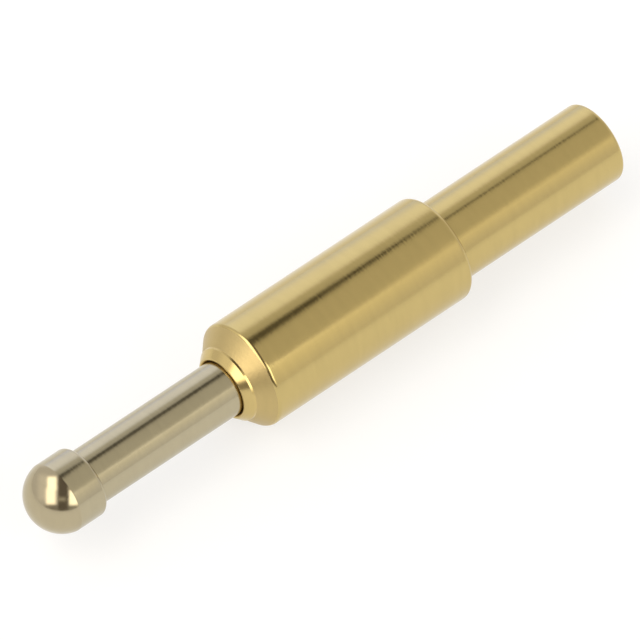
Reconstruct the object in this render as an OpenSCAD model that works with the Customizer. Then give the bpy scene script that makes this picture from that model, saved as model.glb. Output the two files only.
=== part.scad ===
// Spring-loaded contact pin: a turned barrel, a sliding plunger and the coil spring between them.
// All sizes in millimetres. The axis lies along X with the contact tip at -X and the tail at +X.
// The origin is on the axis, in the plane of the barrel's rear shoulder.

/* [Barrel] */
// Outside diameter of the barrel
barrel_d = 2.0; // [1.8:0.05:2.6]
// Length of the barrel from the front of its nose lip to the rear shoulder
barrel_len = 4.87; // [4.6:0.01:7]
// Wall around the spring chamber
barrel_wall = 0.32; // [0.2:0.02:0.4]
// Solid metal between the chamber floor and the rear shoulder
floor_t = 0.35; // [0.2:0.05:0.6]
// Width of the drill-point dimple in the chamber floor
dimple_d = 0.7; // [0.3:0.05:0.8]
// Rounding of the barrel's outer edges
edge_r = 0.10; // [0.03:0.01:0.12]

/* [Nose] */
// Radial width of the rolled lip around the mouth, from its bore to the ring
lip_w = 0.17; // [0.14:0.01:0.2]
// How far the lip stands in front of the ring behind it
lip_rise = 0.13; // [0.08:0.01:0.16]
// Rounding of the lip's inner edge
lip_r = 0.035; // [0.01:0.005:0.04]
// Length of the narrow ring between the lip and the cone
ring_len = 0.04; // [0.02:0.01:0.1]
// How much the ring widens towards the cone
ring_flare = 0.008; // [0.002:0.002:0.03]
// Length of the bore that guides the shaft
mouth_land = 0.25; // [0.2:0.05:0.4]

/* [Tail] */
// Diameter of the tail
tail_d = 1.515; // [1.2:0.005:1.7]
// Length of the tail behind the shoulder
tail_len = 3.70; // [2:0.05:6]
// Rounding of the tail's end
tail_edge_r = 0.08; // [0.03:0.01:0.15]
// Fillet at the root of the tail
root_r = 0.05; // [0.02:0.01:0.1]

/* [Plunger] */
// Diameter of the shaft
shaft_d = 1.035; // [0.9:0.005:1.08]
// Shaft showing between the mouth and the head at rest
reach = 3.14; // [2.8:0.02:5]
// Diameter of the head
head_d = 1.32; // [1.15:0.01:1.6]
// Length of the head's straight collar
collar_len = 0.6; // [0.3:0.05:1.2]
// Extra radius of the dome over the head's own radius
dome_extra = 0.012; // [0.002:0.001:0.1]
// Rounding of the collar's rear edge
collar_edge_r = 0.08; // [0.03:0.01:0.1]
// Length of the guide that stays inside the barrel
guide_len = 0.6; // [0.4:0.05:0.9]
// Diameter of the pilot that centres the spring
pilot_d = 0.74; // [0.5:0.02:0.8]
// Length of the pilot
pilot_len = 0.4; // [0.2:0.05:0.6]

/* [Spring] */
// Thickness of the spring wire
wire_d = 0.14; // [0.1:0.01:0.15]
// Full travel of the plunger
travel = 2.0; // [1:0.1:2.2]
// Travel kept back before the coils would touch
coil_reserve = 0.2; // [0.1:0.05:0.3]

/* [Fits] */
// Radial running clearance between the shaft and the mouth
mouth_clear = 0.02; // [0.015:0.005:0.04]
// Radial running clearance between the guide and the chamber
guide_clear = 0.03; // [0.015:0.005:0.05]
// Radial clearance around the spring
spring_clear = 0.07; // [0.04:0.01:0.09]
// Gap at the stops and the spring's seats
seat_gap = 0.01; // [0.005:0.005:0.02]

/* [Hidden] */
$fn = 64;

// Radii of the barrel and its bores
barrel_r = barrel_d / 2;
tail_r = tail_d / 2;
chamber_r = barrel_r - barrel_wall;
mouth_r = shaft_d / 2 + mouth_clear;
lip_outer_r = mouth_r + lip_w;
cone_front_r = lip_outer_r + ring_flare;
lip_round_r = mouth_r + lip_r;

// Stations along the axis
mouth_x = -barrel_len;
ring_x = mouth_x + lip_rise;
lip_round_x = mouth_x + lip_r;
cone_x = ring_x + ring_len;
cone_end_x = cone_x + barrel_r - cone_front_r;
throat_x = mouth_x + mouth_land;
chamber_x = throat_x + chamber_r - mouth_r;
floor_x = -floor_t;
drill_point_angle = 118;
dimple_depth = dimple_d / 2 / tan(drill_point_angle / 2);

// Where the lip's inner round runs into its sloping face, as an angle on the round
lip_face = [lip_outer_r - lip_round_r, ring_x - lip_round_x];
lip_face_angle = 360 + atan2(lip_face.y, lip_face.x) - acos(lip_r / norm(lip_face));

// Plunger
shaft_r = shaft_d / 2;
head_r = head_d / 2;
dome_r = head_r + dome_extra;
collar_back_x = mouth_x - reach;
collar_front_x = collar_back_x - collar_len;
dome_x = collar_front_x + sqrt(dome_r * dome_r - head_r * head_r);
guide_r = chamber_r - guide_clear;
guide_cone_x = throat_x - mouth_clear + seat_gap;
guide_x = guide_cone_x + guide_r - shaft_r;
guide_end_x = guide_x + guide_len;
pilot_end_x = guide_end_x + pilot_len;
inner_chamfer = 0.04;

// Spring, as many turns as leave the reserve at full travel
coil_r = chamber_r - spring_clear - wire_d / 2;
spring_x = guide_end_x + seat_gap;
spring_len = floor_x - seat_gap - spring_x;
turns = floor((spring_len - travel - coil_reserve) / wire_d);
closed_turns = 1;
coil_steps = 24;
wire_sides = 8;

// Points of a round of radius r about [cx, cy], from angle a0 to a1
round_steps = 6;
function arc(cx, cy, r, a0, a1) =
    [for (i = [0:round_steps]) let (a = a0 + (a1 - a0) * i / round_steps) [cx + r * cos(a), cy + r * sin(a)]];

// Rounds the corner between a 45 degree cone below and a straight wall above, at [x, y]
function cone_round(x, y, r) = arc(x - r, y + r * tan(22.5), r, -45, 0);

// A profile of [radius, station] points, turned about the X axis
module turned(profile) {
    rotate([0, 90, 0])
        rotate_extrude()
            polygon(profile);
}

module barrel() {
    outside = concat(
        [[lip_outer_r, ring_x]],
        [[cone_front_r, cone_x]],
        cone_round(barrel_r, cone_end_x, edge_r),
        arc(barrel_r - edge_r, -edge_r, edge_r, 0, 90),
        arc(tail_r + root_r, root_r, root_r, 270, 180),
        arc(tail_r - tail_edge_r, tail_len - tail_edge_r, tail_edge_r, 0, 90),
        [[0, tail_len]]
    );
    inside = concat(
        [[0, floor_x + dimple_depth]],
        [[dimple_d / 2, floor_x]],
        [[chamber_r, floor_x]],
        [[chamber_r, chamber_x]],
        [[mouth_r, throat_x]],
        arc(lip_round_r, lip_round_x, lip_r, 180, lip_face_angle)
    );
    color([0.80, 0.66, 0.36])
        turned(concat(inside, outside));
}

module plunger() {
    body = concat(
        arc(head_r - collar_edge_r, collar_back_x - collar_edge_r, collar_edge_r, 0, 90),
        [[shaft_r, collar_back_x]],
        [[shaft_r, guide_cone_x]],
        [[guide_r, guide_x]],
        [[guide_r, guide_end_x - inner_chamfer]],
        [[guide_r - inner_chamfer, guide_end_x]],
        [[pilot_d / 2, guide_end_x]],
        [[pilot_d / 2, pilot_end_x - inner_chamfer]],
        [[pilot_d / 2 - inner_chamfer, pilot_end_x]],
        [[0, pilot_end_x]]
    );
    color([0.74, 0.69, 0.57])
        rotate([0, 90, 0])
            rotate_extrude() {
                polygon(concat([[0, collar_front_x], [head_r, collar_front_x]], body));
                intersection() {
                    translate([0, dome_x])
                        circle(r = dome_r);
                    translate([0, dome_x - 2 * dome_r])
                        square([2 * dome_r, 2 * dome_r + collar_front_x - dome_x]);
                }
            }
}

// Share of the open pitch already used at t turns: the end turns lie close, the rest evenly apart
open_turns = turns - 2 * closed_turns;
open_pitch = (spring_len - wire_d - 2 * closed_turns * wire_d) / open_turns;
function coil_x(t) =
    t <= closed_turns ? t * wire_d :
    t >= turns - closed_turns ? spring_len - wire_d - (turns - t) * wire_d :
    closed_turns * wire_d + (t - closed_turns) * open_pitch;

// Centre of the wire and its cross-section at step i
function wire_point(i, k) =
    let (t = i / coil_steps, a = 360 * t, b = 360 * k / wire_sides, r = coil_r + wire_d / 2 * cos(b))
    [spring_x + wire_d / 2 + coil_x(t) + wire_d / 2 * sin(b), r * cos(a), r * sin(a)];

module spring() {
    last = turns * coil_steps;
    points = [for (i = [0:last], k = [0:wire_sides - 1]) wire_point(i, k)];
    sides = [for (i = [0:last - 1], k = [0:wire_sides - 1])
        let (n = (k + 1) % wire_sides, a = i * wire_sides, b = a + wire_sides)
        [a + k, a + n, b + n, b + k]];
    front = [[for (k = [0:wire_sides - 1]) wire_sides - 1 - k]];
    back = [[for (k = [0:wire_sides - 1]) last * wire_sides + k]];
    color([0.72, 0.73, 0.75])
        polyhedron(points = points, faces = concat(front, sides, back));
}

barrel();
plunger();
spring();
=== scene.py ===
import math

import bmesh
import bpy
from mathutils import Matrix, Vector


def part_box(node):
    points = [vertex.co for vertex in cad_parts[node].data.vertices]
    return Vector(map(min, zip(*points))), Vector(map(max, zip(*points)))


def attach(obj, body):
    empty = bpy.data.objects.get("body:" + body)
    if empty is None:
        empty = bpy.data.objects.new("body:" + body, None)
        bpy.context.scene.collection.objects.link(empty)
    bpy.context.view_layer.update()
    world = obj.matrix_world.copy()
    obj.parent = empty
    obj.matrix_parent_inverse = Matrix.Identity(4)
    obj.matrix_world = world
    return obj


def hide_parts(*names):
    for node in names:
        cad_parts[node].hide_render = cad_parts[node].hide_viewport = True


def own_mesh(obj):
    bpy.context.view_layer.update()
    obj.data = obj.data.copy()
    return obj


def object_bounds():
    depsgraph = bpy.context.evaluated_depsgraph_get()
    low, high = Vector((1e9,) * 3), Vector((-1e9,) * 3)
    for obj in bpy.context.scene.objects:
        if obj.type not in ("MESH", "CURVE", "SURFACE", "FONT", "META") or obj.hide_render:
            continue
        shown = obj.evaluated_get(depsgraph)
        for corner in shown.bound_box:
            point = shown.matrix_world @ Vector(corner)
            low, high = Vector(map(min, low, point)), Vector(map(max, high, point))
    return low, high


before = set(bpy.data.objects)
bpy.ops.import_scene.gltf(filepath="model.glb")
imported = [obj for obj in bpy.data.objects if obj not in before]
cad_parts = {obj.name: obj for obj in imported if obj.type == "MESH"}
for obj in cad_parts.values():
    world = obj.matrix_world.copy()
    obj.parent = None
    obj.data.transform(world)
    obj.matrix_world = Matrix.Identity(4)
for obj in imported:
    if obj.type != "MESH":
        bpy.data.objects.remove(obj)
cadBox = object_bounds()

mm = 0.001
scene = bpy.context.scene
barrelLow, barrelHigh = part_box("barrel")
plungerLow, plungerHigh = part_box("plunger")
springLow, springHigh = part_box("spring")
barrelRadius = barrelHigh.z


# small helpers for node trees

def addNode(tree, kind, **settings):
    node = tree.nodes.new(kind)
    for key, value in settings.items():
        setattr(node, key, value)
    return node


def feed(tree, socket, value):
    # a link when value is a socket, a plain default otherwise
    if isinstance(value, bpy.types.NodeSocket):
        tree.links.new(value, socket)
    else:
        socket.default_value = value


def mathNode(tree, operation, *values, clamp=False):
    node = addNode(tree, "ShaderNodeMath", operation=operation, use_clamp=clamp)
    for i, value in enumerate(values):
        feed(tree, node.inputs[i], value)
    return node.outputs[0]


def vectorNode(tree, operation, *values, out="Vector"):
    node = addNode(tree, "ShaderNodeVectorMath", operation=operation)
    for i, value in enumerate(values):
        feed(tree, node.inputs[i], value)
    return node.outputs[out]


def rampNode(tree, value, fromLow, fromHigh, toLow=0.0, toHigh=1.0, smooth=False):
    node = addNode(tree, "ShaderNodeMapRange", interpolation_type="SMOOTHSTEP" if smooth else "LINEAR")
    for i, item in enumerate((value, fromLow, fromHigh, toLow, toHigh)):
        feed(tree, node.inputs[i], item)
    return node.outputs[0]


def mixColour(tree, factor, low, high):
    # the Mix node keeps its colour sockets behind those for numbers and vectors
    node = addNode(tree, "ShaderNodeMix", data_type="RGBA")
    for i, item in zip((0, 6, 7), (factor, low, high)):
        feed(tree, node.inputs[i], item)
    return node.outputs[2]


def joinNode(tree, x=0.0, y=0.0, z=0.0):
    node = tree.nodes.new("ShaderNodeCombineXYZ")
    for i, value in enumerate((x, y, z)):
        feed(tree, node.inputs[i], value)
    return node.outputs[0]


def splitNode(tree, vector):
    node = tree.nodes.new("ShaderNodeSeparateXYZ")
    tree.links.new(vector, node.inputs[0])
    return node.outputs


def setPlace(tree, geometry, place):
    node = tree.nodes.new("GeometryNodeSetPosition")
    tree.links.new(geometry, node.inputs["Geometry"])
    tree.links.new(place, node.inputs["Position"])
    return node.outputs[0]


def newGroup(name, kind, inputs, outputs):
    tree = bpy.data.node_groups.new(name, kind)
    for socketName, socketType, default in inputs:
        socket = tree.interface.new_socket(name=socketName, in_out="INPUT", socket_type=socketType)
        if default is not None:
            socket.default_value = default
    for socketName, socketType in outputs:
        tree.interface.new_socket(name=socketName, in_out="OUTPUT", socket_type=socketType)
    return tree, tree.nodes.new("NodeGroupInput").outputs, tree.nodes.new("NodeGroupOutput").inputs


def useGroup(tree, group, **values):
    node = addNode(tree, "ShaderNodeGroup", node_tree=group)
    for key, value in values.items():
        feed(tree, node.inputs[key], value)
    return node.outputs


# profiles: (station along X, radius) points in metres, turned about the axis

def arcPoints(x, r, radius, start, end, steps=10):
    # 0 degrees points outwards from the axis, 90 towards the tail
    points = []
    for i in range(steps + 1):
        angle = math.radians(start + (end - start) * i / steps)
        points.append((x + radius * math.sin(angle), r + radius * math.cos(angle)))
    return points


barrelSizes = {
    "wall": 0.32 * mm, "floor": 0.35 * mm, "dimple": 0.70 * mm, "drillPoint": 118.0,
    "edge": 0.10 * mm, "lipWidth": 0.17 * mm, "lipRise": 0.13 * mm, "lipRound": 0.035 * mm,
    "ringLength": 0.04 * mm, "ringFlare": 0.008 * mm, "mouthLand": 0.25 * mm,
    "mouthRadius": 0.5375 * mm, "tailRadius": 0.7575 * mm, "tailEdge": 0.08 * mm, "tailRoot": 0.05 * mm,
}


def barrelProfile():
    s = barrelSizes
    front, rear, edge = barrelLow.x, barrelHigh.x, s["edge"]
    chamber = barrelRadius - s["wall"]
    throat = front + s["mouthLand"]
    lipOuter = s["mouthRadius"] + s["lipWidth"]
    ringX = front + s["lipRise"]
    coneX = ringX + s["ringLength"]
    coneEnd = coneX + barrelRadius - lipOuter - s["ringFlare"]
    dimple = s["dimple"] / 2
    profile = [(-s["floor"] + dimple / math.tan(math.radians(s["drillPoint"] / 2)), 0.0)]
    profile += [(-s["floor"], dimple), (-s["floor"], chamber)]
    profile += [(throat + chamber - s["mouthRadius"], chamber), (throat, s["mouthRadius"])]
    roundX, roundR = front + s["lipRound"], s["mouthRadius"] + s["lipRound"]
    faceX, faceR = ringX - roundX, lipOuter - roundR
    turnEnd = math.degrees(math.atan2(faceX, faceR) - math.acos(s["lipRound"] / math.hypot(faceX, faceR)))
    profile += arcPoints(roundX, roundR, s["lipRound"], -180, turnEnd)
    profile += [(ringX, lipOuter), (coneX, lipOuter + s["ringFlare"])]
    profile += arcPoints(coneEnd + edge * math.tan(math.radians(22.5)), barrelRadius - edge, edge, -45, 0)
    profile += arcPoints(-edge, barrelRadius - edge, edge, 0, 90)
    profile += arcPoints(s["tailRoot"], s["tailRadius"] + s["tailRoot"], s["tailRoot"], 270, 180)
    profile += arcPoints(rear - s["tailEdge"], s["tailRadius"] - s["tailEdge"], s["tailEdge"], 0, 90)
    return profile + [(rear, 0.0)]


plungerSizes = {
    "collar": 0.6 * mm, "domeExtra": 0.012 * mm, "collarEdge": 0.08 * mm, "shaftRadius": 0.5175 * mm,
    "reach": 3.14 * mm, "guide": 0.6 * mm, "guideClear": 0.03 * mm, "mouthClear": 0.02 * mm,
    "seatGap": 0.01 * mm, "pilotRadius": 0.37 * mm, "pilot": 0.4 * mm, "chamfer": 0.04 * mm,
}


# stations nearer than this are one point
sameStation = 1e-6


def plungerProfile():
    s, b = plungerSizes, barrelSizes
    head, shaft = plungerHigh.z, s["shaftRadius"]
    backX = barrelLow.x - s["reach"]
    frontX = backX - s["collar"]
    dome = head + s["domeExtra"]
    domeEdge = math.degrees(math.asin(head / dome)) - 90
    domeX = plungerLow.x + dome
    guide = barrelRadius - b["wall"] - s["guideClear"]
    coneX = barrelLow.x + b["mouthLand"] - s["mouthClear"] + s["seatGap"]
    guideX = coneX + guide - shaft
    endX = guideX + s["guide"]
    pilotX = endX + s["pilot"]
    profile = arcPoints(domeX, 0.0, dome, -90, domeEdge, steps=40)
    profile += [(frontX, head)] if abs(profile[-1][0] - frontX) > sameStation else []
    profile += arcPoints(backX - s["collarEdge"], head - s["collarEdge"], s["collarEdge"], 0, 90)
    profile += [(backX, shaft), (coneX, shaft), (guideX, guide), (endX - s["chamfer"], guide)]
    profile += [(endX, guide - s["chamfer"]), (endX, s["pilotRadius"])]
    profile += [(pilotX - s["chamfer"], s["pilotRadius"])]
    return profile + [(pilotX, s["pilotRadius"] - s["chamfer"]), (pilotX, 0.0)]


# a lathe in Geometry Nodes: turns a line of points about the X axis

def latheTree():
    tree, given, result = newGroup("turnedBody", "GeometryNodeTree", [
        ("Profile", "NodeSocketGeometry", None), ("Segments", "NodeSocketInt", 192),
        ("Seam Distance", "NodeSocketFloat", 1e-7), ("Finish", "NodeSocketMaterial", None),
    ], [("Body", "NodeSocketGeometry")])
    count = addNode(tree, "GeometryNodeAttributeDomainSize", component="MESH")
    tree.links.new(given["Profile"], count.inputs[0])
    around = mathNode(tree, "ADD", given["Segments"], 1)
    grid = addNode(tree, "GeometryNodeMeshGrid")
    tree.links.new(count.outputs["Point Count"], grid.inputs["Vertices X"])
    tree.links.new(around, grid.inputs["Vertices Y"])
    index = tree.nodes.new("GeometryNodeInputIndex").outputs[0]
    station = mathNode(tree, "FLOOR", mathNode(tree, "DIVIDE", mathNode(tree, "ADD", index, 0.5), around))
    step = mathNode(tree, "SUBTRACT", index, mathNode(tree, "MULTIPLY", station, around))
    angle = mathNode(tree, "MULTIPLY", mathNode(tree, "DIVIDE", step, given["Segments"]), math.tau)
    sample = addNode(tree, "GeometryNodeSampleIndex", data_type="FLOAT_VECTOR", domain="POINT")
    tree.links.new(given["Profile"], sample.inputs["Geometry"])
    tree.links.new(tree.nodes.new("GeometryNodeInputPosition").outputs[0], sample.inputs["Value"])
    tree.links.new(station, sample.inputs["Index"])
    point = splitNode(tree, sample.outputs[0])
    y = mathNode(tree, "MULTIPLY", point["Z"], mathNode(tree, "SINE", angle))
    z = mathNode(tree, "MULTIPLY", point["Z"], mathNode(tree, "COSINE", angle))
    moved = setPlace(tree, grid.outputs["Mesh"], joinNode(tree, point["X"], y, z))
    merge = tree.nodes.new("GeometryNodeMergeByDistance")
    tree.links.new(moved, merge.inputs["Geometry"])
    tree.links.new(given["Seam Distance"], merge.inputs["Distance"])
    finishTree(tree, merge.outputs[0], given["Finish"], result["Body"])
    return tree


def finishTree(tree, geometry, material, result):
    real = tree.nodes.new("GeometryNodeRealizeInstances")
    tree.links.new(geometry, real.inputs[0])
    paint = tree.nodes.new("GeometryNodeSetMaterial")
    tree.links.new(real.outputs[0], paint.inputs["Geometry"])
    tree.links.new(material, paint.inputs["Material"])
    tree.links.new(paint.outputs[0], result)


# edges shorter than "tiny" go, and edges above the angle stay crisp
surface = {"tiny": 1e-9, "crispAngle": 8.0}


def runTree(name, sourceMesh, tree, values):
    # runs the tree on the mesh and keeps the result as a plain mesh object
    obj = bpy.data.objects.new(name + "Source", sourceMesh)
    scene.collection.objects.link(obj)
    modifier = obj.modifiers.new("Shape", "NODES")
    modifier.node_group = tree
    for socket in tree.interface.items_tree:
        if socket.in_out == "INPUT" and socket.name in values:
            modifier[socket.identifier] = values[socket.name]
    bpy.context.view_layer.update()
    evaluated = obj.evaluated_get(bpy.context.evaluated_depsgraph_get())
    mesh = bpy.data.meshes.new_from_object(evaluated)
    mesh.name = name
    obj.modifiers.remove(modifier)
    bpy.data.objects.remove(obj)
    shape = bmesh.new()
    shape.from_mesh(mesh)
    bmesh.ops.dissolve_degenerate(shape, dist=surface["tiny"], edges=shape.edges)
    bmesh.ops.recalc_face_normals(shape, faces=shape.faces)
    shape.to_mesh(mesh)
    shape.free()
    mesh.shade_smooth()
    mesh.set_sharp_from_angle(angle=math.radians(surface["crispAngle"]))
    piece = bpy.data.objects.new(name, mesh)
    scene.collection.objects.link(piece)
    return piece


def turnedPiece(name, profile, tree, material, segments=192):
    mesh = bpy.data.meshes.new(name + "Profile")
    steps = [(i, i + 1) for i in range(len(profile) - 1)]
    mesh.from_pydata([(x, 0, r) for x, r in profile], steps, [])
    return runTree(name, mesh, tree, {"Segments": segments, "Finish": material})


# the coil spring, a wire swept along a helix whose end turns lie close

springSizes = {
    "wire": 0.14 * mm, "clear": 0.07 * mm, "turns": 9.0, "closedTurns": 1.0,
    "stepsPerTurn": 48, "wireSides": 12,
}


def coilTree():
    tree, given, result = newGroup("coilSpring", "GeometryNodeTree", [
        ("Base", "NodeSocketGeometry", None), ("Finish", "NodeSocketMaterial", None),
        ("Turns", "NodeSocketFloat", 9.0), ("Closed Turns", "NodeSocketFloat", 1.0),
        ("Coil Radius", "NodeSocketFloat", 0.5 * mm), ("Wire", "NodeSocketFloat", 0.14 * mm),
        ("Length", "NodeSocketFloat", 3.5 * mm), ("Start", "NodeSocketFloat", 0.0),
        ("Steps", "NodeSocketInt", 48), ("Sides", "NodeSocketInt", 12),
    ], [("Coil", "NodeSocketGeometry")])
    line = tree.nodes.new("GeometryNodeCurvePrimitiveLine")
    resample = tree.nodes.new("GeometryNodeResampleCurve")
    tree.links.new(line.outputs[0], resample.inputs["Curve"])
    total = mathNode(tree, "ADD", mathNode(tree, "MULTIPLY", given["Steps"], given["Turns"]), 1)
    tree.links.new(total, resample.inputs["Count"])
    factor = tree.nodes.new("GeometryNodeSplineParameter").outputs["Factor"]
    turn = mathNode(tree, "MULTIPLY", factor, given["Turns"])
    lastTurn = mathNode(tree, "SUBTRACT", given["Turns"], given["Closed Turns"])
    closed = mathNode(tree, "MULTIPLY", given["Closed Turns"], given["Wire"])
    used = mathNode(tree, "ADD", given["Wire"], mathNode(tree, "MULTIPLY", closed, 2))
    opened = mathNode(tree, "SUBTRACT", given["Length"], used)
    first = rampNode(tree, turn, 0, given["Closed Turns"], 0, closed)
    middle = rampNode(tree, turn, given["Closed Turns"], lastTurn, 0, opened)
    last = rampNode(tree, turn, lastTurn, given["Turns"], 0, closed)
    along = mathNode(tree, "ADD", mathNode(tree, "ADD", first, middle), last)
    startX = mathNode(tree, "ADD", given["Start"], mathNode(tree, "MULTIPLY", given["Wire"], 0.5))
    angle = mathNode(tree, "MULTIPLY", turn, math.tau)
    y = mathNode(tree, "MULTIPLY", given["Coil Radius"], mathNode(tree, "COSINE", angle))
    z = mathNode(tree, "MULTIPLY", given["Coil Radius"], mathNode(tree, "SINE", angle))
    helix = setPlace(tree, resample.outputs[0], joinNode(tree, mathNode(tree, "ADD", startX, along), y, z))
    ring = tree.nodes.new("GeometryNodeCurvePrimitiveCircle")
    tree.links.new(given["Sides"], ring.inputs["Resolution"])
    tree.links.new(mathNode(tree, "MULTIPLY", given["Wire"], 0.5), ring.inputs["Radius"])
    sweep = tree.nodes.new("GeometryNodeCurveToMesh")
    tree.links.new(helix, sweep.inputs["Curve"])
    tree.links.new(ring.outputs[0], sweep.inputs["Profile Curve"])
    sweep.inputs["Fill Caps"].default_value = True
    finishTree(tree, sweep.outputs[0], given["Finish"], result["Coil"])
    return tree


# finishes

# the marks are laid out in millimetres
perMetre = 1000


def noiseNode(tree, vector, seed, scale, detail):
    node = addNode(tree, "ShaderNodeTexNoise", noise_dimensions="4D")
    for name, value in (("Vector", vector), ("W", seed), ("Scale", scale), ("Detail", detail)):
        feed(tree, node.inputs[name], value)
    return node.outputs[0]


def turningGroup():
    # light and dark bands run round the piece, as a lathe tool leaves them
    tree, given, result = newGroup("turningMarks", "ShaderNodeTree", [
        ("Pitch", "NodeSocketFloat", 0.03), ("Coarse Pitch", "NodeSocketFloat", 0.12),
        ("Streak", "NodeSocketFloat", 1.5), ("Seed", "NodeSocketFloat", 0.0),
    ], [(name, "NodeSocketFloat") for name in ("Fine", "Coarse", "Cloud", "Grain")])
    place = tree.nodes.new("ShaderNodeTexCoord").outputs["Object"]
    part = splitNode(tree, place)
    flat = joinNode(tree, y=part["Y"], z=part["Z"])
    radius = vectorNode(tree, "LENGTH", flat, out="Value")
    run = mathNode(tree, "MULTIPLY", mathNode(tree, "ADD", part["X"], radius), perMetre)
    direction = vectorNode(tree, "SCALE", vectorNode(tree, "NORMALIZE", flat))
    tree.links.new(given["Streak"], direction.node.inputs["Scale"])
    turn = splitNode(tree, direction)
    for name, pitch, detail in (("Fine", "Pitch", 2.0), ("Coarse", "Coarse Pitch", 3.0)):
        line = joinNode(tree, mathNode(tree, "DIVIDE", run, given[pitch]), turn["Y"], turn["Z"])
        tree.links.new(noiseNode(tree, line, given["Seed"], 1.0, detail), result[name])
    spot = vectorNode(tree, "MULTIPLY", place, (perMetre, perMetre, perMetre))
    for name, scale, detail in (("Cloud", 1.6, 4.0), ("Grain", 28.0, 1.0)):
        tree.links.new(noiseNode(tree, spot, given["Seed"], scale, detail), result[name])
    return tree


finishes = {
    "goldTurned": {
        "colour": (0.565, 0.44, 0.182), "roughness": 0.16, "anisotropy": 0.6,
        "rings": 0.4, "grain": 0.16, "seed": 1.0,
    },
    "goldCone": {
        "colour": (0.545, 0.42, 0.185), "roughness": 0.38, "anisotropy": 0.0,
        "rings": 0.2, "grain": 0.9, "seed": 2.0,
    },
    "goldRolled": {
        "colour": (0.6, 0.46, 0.19), "roughness": 0.15, "anisotropy": 0.0,
        "rings": 0.05, "grain": 0.06, "seed": 3.0,
    },
    # the mouth's deeper orange colour is a painted golden reflection in the dark gap round the shaft; its
    # higher roughness is the surface's own
    "goldMouthPaintedReflection": {
        "colour": (0.62, 0.42, 0.13), "roughness": 0.55, "anisotropy": 0.0,
        "rings": 0.1, "grain": 0.2, "seed": 7.0,
    },
    "paleTurned": {
        "colour": (0.47, 0.415, 0.28), "roughness": 0.17, "anisotropy": 0.6,
        "rings": 0.4, "grain": 0.12, "seed": 4.0,
    },
    # the dome's colour is a touch more golden than the shaft's, a painted reflection of golden light; its
    # low roughness and faint marks are its own polish
    "paleDomeWithPaintedGoldTint": {
        "colour": (0.47, 0.405, 0.265), "roughness": 0.15, "anisotropy": 0.0,
        "rings": 0.06, "grain": 0.12, "seed": 5.0,
    },
    "springSteel": {
        "colour": (0.5, 0.5, 0.51), "roughness": 0.28, "anisotropy": 0.0,
        "rings": 0.1, "grain": 0.1, "seed": 6.0,
    },
}

# how far the plating's colour and roughness swing, and how high its marks stand
plating = {"tone": 0.06, "swing": 0.15, "cloudLow": 0.25, "cloudHigh": 0.75, "markHeight": 0.003 * mm}


# turns the stretched highlight to lie across the tool marks
quarterTurn = 0.25


def metalFinish(name, marks):
    spec = finishes[name]
    material = bpy.data.materials.new(name)
    material.use_nodes = True
    tree = material.node_tree
    shader = tree.nodes["Principled BSDF"]
    mark = useGroup(tree, marks, Seed=spec["seed"])
    dark = tuple(c * (1 - plating["tone"]) for c in spec["colour"]) + (1,)
    light = tuple(c * (1 + plating["tone"]) for c in spec["colour"]) + (1,)
    feed(tree, shader.inputs["Base Color"], mixColour(tree, mark["Coarse"], dark, light))
    smooth, dull = (spec["roughness"] * (1 + side * plating["swing"]) for side in (-1, 1))
    rough = rampNode(tree, mark["Cloud"], plating["cloudLow"], plating["cloudHigh"], smooth, dull)
    feed(tree, shader.inputs["Roughness"], rough)
    shader.inputs["Metallic"].default_value = 1.0
    shader.inputs["Anisotropic"].default_value = spec["anisotropy"]
    shader.inputs["Anisotropic Rotation"].default_value = quarterTurn
    around = addNode(tree, "ShaderNodeTangent", direction_type="RADIAL", axis="X")
    tree.links.new(around.outputs[0], shader.inputs["Tangent"])
    rings = mathNode(tree, "MULTIPLY", mark["Fine"], spec["rings"])
    height = mathNode(tree, "ADD", rings, mathNode(tree, "MULTIPLY", mark["Grain"], spec["grain"]))
    bump = tree.nodes.new("ShaderNodeBump")
    bump.inputs["Strength"].default_value = 1.0
    bump.inputs["Distance"].default_value = plating["markHeight"]
    tree.links.new(height, bump.inputs["Height"])
    tree.links.new(bump.outputs[0], shader.inputs["Normal"])
    return material


def paintByStation(piece, materials, pick):
    # pick(x, radius) says which material a face takes
    piece.data.materials.clear()
    for material in materials:
        piece.data.materials.append(material)
    for face in piece.data.polygons:
        centre = face.center
        face.material_index = pick(centre.x, math.hypot(centre.y, centre.z))


# build the object

marks = turningGroup()
metal = {name: metalFinish(name, marks) for name in finishes}
lathe = latheTree()

barrel = turnedPiece("turnedBarrel", barrelProfile(), lathe, metal["goldTurned"])
lipEnd = barrelLow.x + barrelSizes["lipRise"] + barrelSizes["ringLength"]
coneEnd = lipEnd + barrelRadius - barrelSizes["mouthRadius"] - barrelSizes["lipWidth"]
coneEnd -= barrelSizes["ringFlare"]
# the finish changes partway round these edges
barrelZones = {
    "names": ("goldTurned", "goldCone", "goldRolled", "goldMouthPaintedReflection"),
    "coneStop": coneEnd - barrelSizes["edge"] * 0.3,
    "coneInside": barrelSizes["mouthRadius"] * 1.2,
    "mouthEdge": barrelSizes["mouthRadius"] + barrelSizes["lipRound"] * 0.6,
}


def barrelZone(x, radius):
    zone = "goldTurned"
    if x < lipEnd:
        # faces inside the mouth take the finish whose orange colour is painted golden reflection
        zone = "goldMouthPaintedReflection" if radius < barrelZones["mouthEdge"] else "goldRolled"
    elif x < barrelZones["coneStop"] and radius > barrelZones["coneInside"]:
        zone = "goldCone"
    return barrelZones["names"].index(zone)


paintByStation(barrel, [metal[name] for name in barrelZones["names"]], barrelZone)
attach(barrel, "barrel")
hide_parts("barrel")
print("barrel made,", len(barrel.data.polygons), "faces")

plunger = turnedPiece("turnedPlunger", plungerProfile(), lathe, metal["paleTurned"])
collarFront = barrelLow.x - plungerSizes["reach"] - plungerSizes["collar"]
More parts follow.
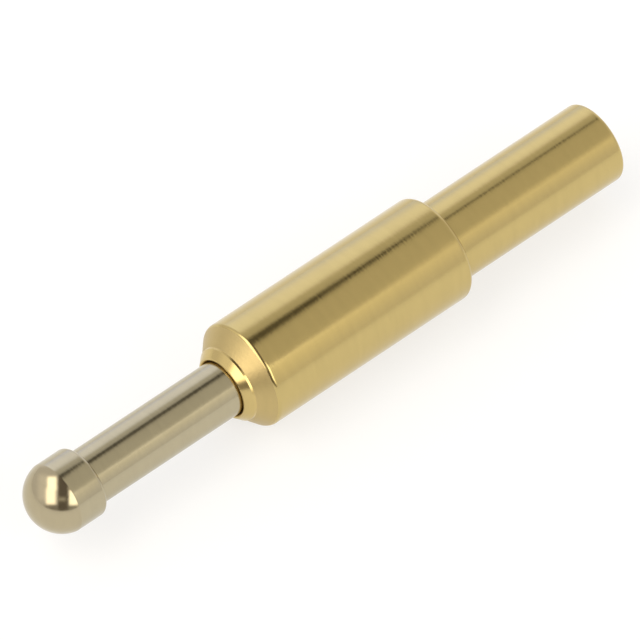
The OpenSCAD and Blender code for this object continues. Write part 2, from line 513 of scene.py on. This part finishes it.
# the dome ahead of the collar takes the finish whose golden tint is painted reflection
paintByStation(plunger, [metal["paleTurned"], metal["paleDomeWithPaintedGoldTint"]], lambda x, radius: int(x < collarFront))
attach(plunger, "plunger")
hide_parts("plunger")
print("plunger made,", len(plunger.data.polygons), "faces")

coilLength = springHigh.x - springLow.x
coilRadius = barrelRadius - barrelSizes["wall"] - springSizes["clear"] - springSizes["wire"] / 2
spring = runTree("coiledSpring", bpy.data.meshes.new("springBase"), coilTree(), {
    "Turns": springSizes["turns"], "Closed Turns": springSizes["closedTurns"], "Wire": springSizes["wire"],
    "Coil Radius": coilRadius, "Length": coilLength, "Start": springLow.x, "Finish": metal["springSteel"],
    "Steps": springSizes["stepsPerTurn"], "Sides": springSizes["wireSides"],
})
spring.data.shade_smooth()
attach(spring, "barrel")
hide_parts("spring")
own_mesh(spring)
print("spring made,", len(spring.data.polygons), "faces")

# camera, at the same angle as the studio windows below

viewing = {
    "azimuth": -41.5, "elevation": 48.4, "lens": 1200.0, "sensor": 36.0, "width": 10.93 * mm,
    "aim": (-2.60, 0.0437, 0.0290), "clipStart": 0.01, "clipEnd": 10.0,
}
azimuth, elevation = math.radians(viewing["azimuth"]), math.radians(viewing["elevation"])
level = math.cos(elevation)
towards = Vector((math.sin(azimuth) * level, -math.cos(azimuth) * level, math.sin(elevation)))
rightward = Vector((math.cos(azimuth), math.sin(azimuth), 0))
upward = towards.cross(rightward)
target = Vector(viewing["aim"]) * mm
camera = bpy.data.objects.new("camera", bpy.data.cameras.new("camera"))
scene.collection.objects.link(camera)
camera.data.lens = viewing["lens"]
camera.data.sensor_width = viewing["sensor"]
camera.location = target + towards * (viewing["width"] / viewing["sensor"] * viewing["lens"])
camera.rotation_mode = "QUATERNION"
camera.rotation_quaternion = (-towards).to_track_quat("-Z", "Y")
camera.data.clip_start = viewing["clipStart"]
camera.data.clip_end = viewing["clipEnd"]
scene.camera = camera

# studio: a pale floor, and a room of soft panels

studio = {
    # farFloorPaintedShade: the share of the floor's glow that the metal sees far away, painted shade on the
    # far floor
    "floorSize": 0.5, "floorColour": 0.36, "floorRoughness": 0.9, "floorLift": 0.68, "farFloorPaintedShade": 0.80,
    "fadeStart": 5 * mm, "fadeEnd": 30 * mm, "room": (0.82, 0.80, 0.80),
}


def showsBackground(tree):
    # 1 for rays from the camera and for those that metal and glass send on; the rays that metal sends on
    # see the floor's glow dim between fadeStart and fadeEnd from the floor's middle, painted shade on the
    # far floor
    path = tree.nodes.new("ShaderNodeLightPath").outputs
    place = tree.nodes.new("ShaderNodeTexCoord").outputs["Object"]
    away = vectorNode(tree, "LENGTH", place, out="Value")
    far = rampNode(tree, away, studio["fadeStart"], studio["fadeEnd"], 1.0, studio["farFloorPaintedShade"])
    sentOn = mathNode(tree, "MULTIPLY", path["Is Glossy Ray"], far)
    total = mathNode(tree, "ADD", path["Is Camera Ray"], sentOn)
    return mathNode(tree, "ADD", total, path["Is Transmission Ray"], clamp=True)


def makeFloor():
    half = studio["floorSize"] / 2
    z = cadBox[0].z
    mesh = bpy.data.meshes.new("floor")
    corners = [(-half, -half, z), (half, -half, z), (half, half, z), (-half, half, z)]
    mesh.from_pydata(corners, [], [(0, 1, 2, 3)])
    material = bpy.data.materials.new("paperWhite")
    material.use_nodes = True
    tree = material.node_tree
    shader = tree.nodes["Principled BSDF"]
    shade = studio["floorColour"]
    shader.inputs["Base Color"].default_value = (shade, shade, shade, 1)
    shader.inputs["Roughness"].default_value = studio["floorRoughness"]
    shader.inputs["Specular IOR Level"].default_value = 0.0
    shader.inputs["Emission Color"].default_value = (1, 1, 1, 1)
    lift = mathNode(tree, "MULTIPLY", showsBackground(tree), studio["floorLift"])
    feed(tree, shader.inputs["Emission Strength"], lift)
    mesh.materials.append(material)
    floor = bpy.data.objects.new("floor", mesh)
    scene.collection.objects.link(floor)


# each panel: its left, right, bottom and top as the dome shows them, its softness, its light, its tint
panels = {
    "topPanel": (-1.1, 1.1, 0.70, 1.2, 0.03, 1.05, (1, 1.0, 1.10)),
    "topLamp": (-0.32, 0.0, 0.70, 0.88, 0.06, 1.22, (1, 1.02, 1.12)),
    "rim": (-1.1, 0.0, 0.835, 1.2, 0.03, 0.90, (1, 1.08, 1.45)),
    "topShade": (-0.14, 0.25, 0.50, 0.685, 0.02, 0.66, (1, 0.97, 0.90)),
    "sideLamp": (0.37, 0.54, -0.30, 0.30, 0.09, 1.05, (1, 0.95, 0.82)),
    "glowLeft": (-0.60, -0.36, -0.14, 0.50, 0.08, 1.06, (1, 0.97, 0.95)),
    "shadeLeft": (-0.44, -0.08, -0.41, -0.25, 0.05, 0.34, (1, 0.92, 0.86)),
    "shadeRight": (0.14, 0.40, -0.42, -0.27, 0.04, 0.42, (1, 0.95, 0.88)),
    "windowLeftLow": (-0.39, -0.15, -0.24, 0.16, 0.05, 2.9, (1, 0.93, 0.86)),
    "windowLeftHigh": (-0.36, -0.13, 0.12, 0.45, 0.05, 3.0, (1, 0.96, 0.86)),
    "windowRight": (0.195, 0.40, -0.26, 0.14, 0.04, 2.9, (1, 0.96, 0.86)),
    "darkBar": (-0.095, 0.170, -0.45, 0.580, 0.03, 0.18, (1, 0.85, 0.72)),
    "darkTop": (0.02, 0.165, 0.42, 0.590, 0.02, 0.06, (1, 0.85, 0.6)),
    "crossBar": (-0.09, 0.10, -0.16, -0.07, 0.05, 0.60, (1, 0.93, 0.80)),
    "sideWall": (0.155, 0.455, 0.110, 0.60, 0.02, 0.69, (1, 0.95, 0.84)),
}


def panelGroup():
    names = ("Across", "Up", "Left", "Right", "Bottom", "Top", "Softness")
    sockets = [(name, "NodeSocketFloat", 0.0) for name in names]
    tree, given, result = newGroup("softPanel", "ShaderNodeTree", sockets, [("Mask", "NodeSocketFloat")])
    soft = given["Softness"]
    mask = None
    for value, edge, before, after in (
        ("Across", "Left", 0, 1), ("Across", "Right", 1, 0), ("Up", "Bottom", 0, 1), ("Up", "Top", 1, 0),
    ):
        low = mathNode(tree, "SUBTRACT", given[edge], soft)
        high = mathNode(tree, "ADD", given[edge], soft)
        step = rampNode(tree, given[value], low, high, before, after, smooth=True)
        mask = step if mask is None else mathNode(tree, "MULTIPLY", mask, step)
    tree.links.new(mask, result["Mask"])
    return tree


def makeRoom():
    world = bpy.data.worlds.new("room")
    scene.world = world
    world.use_nodes = True
    tree = world.node_tree
    tree.nodes.clear()
    group = panelGroup()
    direction = tree.nodes.new("ShaderNodeTexCoord").outputs["Generated"]
    halfway = vectorNode(tree, "NORMALIZE", vectorNode(tree, "ADD", direction, tuple(towards)))
    across = vectorNode(tree, "DOT_PRODUCT", halfway, tuple(rightward), out="Value")
    up = vectorNode(tree, "DOT_PRODUCT", halfway, tuple(upward), out="Value")
    colour = studio["room"] + (1,)
    for left, right, bottom, top, soft, light, tint in panels.values():
        panel = {"Left": left, "Right": right, "Bottom": bottom, "Top": top, "Softness": soft}
        mask = useGroup(tree, group, Across=across, Up=up, **panel)["Mask"]
        colour = mixColour(tree, mask, colour, tuple(c * light for c in tint) + (1,))
    lamp = tree.nodes.new("ShaderNodeBackground")
    feed(tree, lamp.inputs["Color"], colour)
    white = tree.nodes.new("ShaderNodeBackground")
    mix = tree.nodes.new("ShaderNodeMixShader")
    white.inputs["Color"].default_value = (1, 1, 1, 1)
    path = tree.nodes.new("ShaderNodeLightPath").outputs
    tree.links.new(path["Is Camera Ray"], mix.inputs[0])
    tree.links.new(lamp.outputs[0], mix.inputs[1])
    tree.links.new(white.outputs[0], mix.inputs[2])
    out = tree.nodes.new("ShaderNodeOutputWorld")
    tree.links.new(mix.outputs[0], out.inputs["Surface"])


makeFloor()
makeRoom()
scene.view_settings.view_transform = "Standard"
print("studio made")
